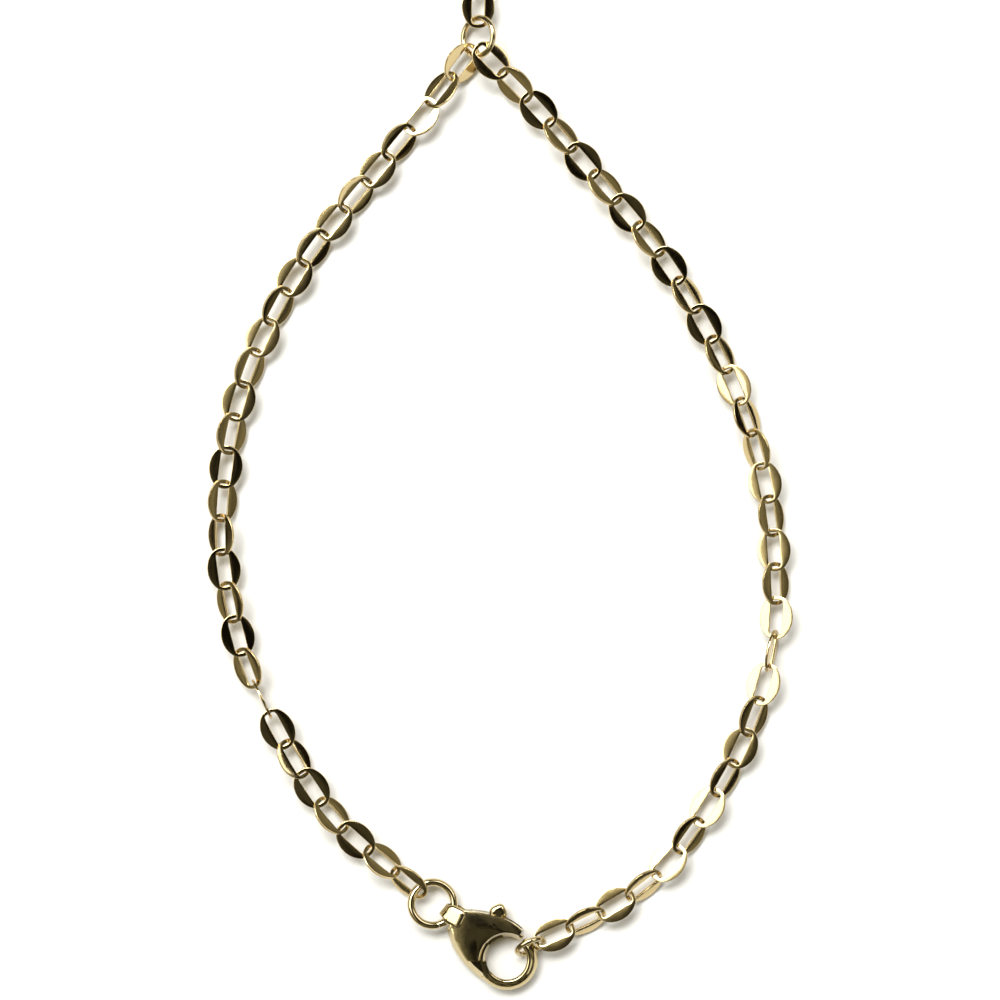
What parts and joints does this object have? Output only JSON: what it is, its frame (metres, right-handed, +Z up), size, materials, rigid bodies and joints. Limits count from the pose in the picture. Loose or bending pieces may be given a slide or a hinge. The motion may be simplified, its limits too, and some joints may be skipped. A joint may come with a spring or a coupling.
{
  "type": "hand chain",
  "caption": "Fine hand chain of flat oval mirror links: a wrist loop closed by a lobster clasp, a connector strand over the back of the hand and a loop for the finger.",
  "frame": {"origin": "middle of the outer box, on the surface that the chain lies on", "axes": "+X across the hand to the right, +Y from the wrist loop towards the finger loop, +Z up from the surface"},
  "size_m": [0.0462, 0.1638, 0.0027],
  "materials": {
    "link_gold": "mirror-polished gold-tone flats",
    "wire_gold": "polished gold-tone wire",
    "cast_gold": "polished gold-tone casting"
  },
  "bodies": {
    "chain": {"wrist_chain_left": "link_gold", "wrist_chain_right": "link_gold", "connector_chain": "link_gold", "finger_chain": "link_gold", "junction_ring": "wire_gold", "jump_ring": "wire_gold", "end_ring": "wire_gold", "finger_ring": "wire_gold", "clasp_body": "cast_gold", "lever_pin": "cast_gold"},
    "lever": {"clasp_lever": "cast_gold"}
  },
  "joints": [
    {"name": "lever_hinge", "type": "hinge", "parent": "chain", "child": "lever", "pos_m": [-0.00035, -0.07669, 0.0011], "axis": [0, 0, -1], "range_deg": [0, 24], "stiffness_Nm_per_rad": 0.001, "springref_deg": -20.05}
  ]
}
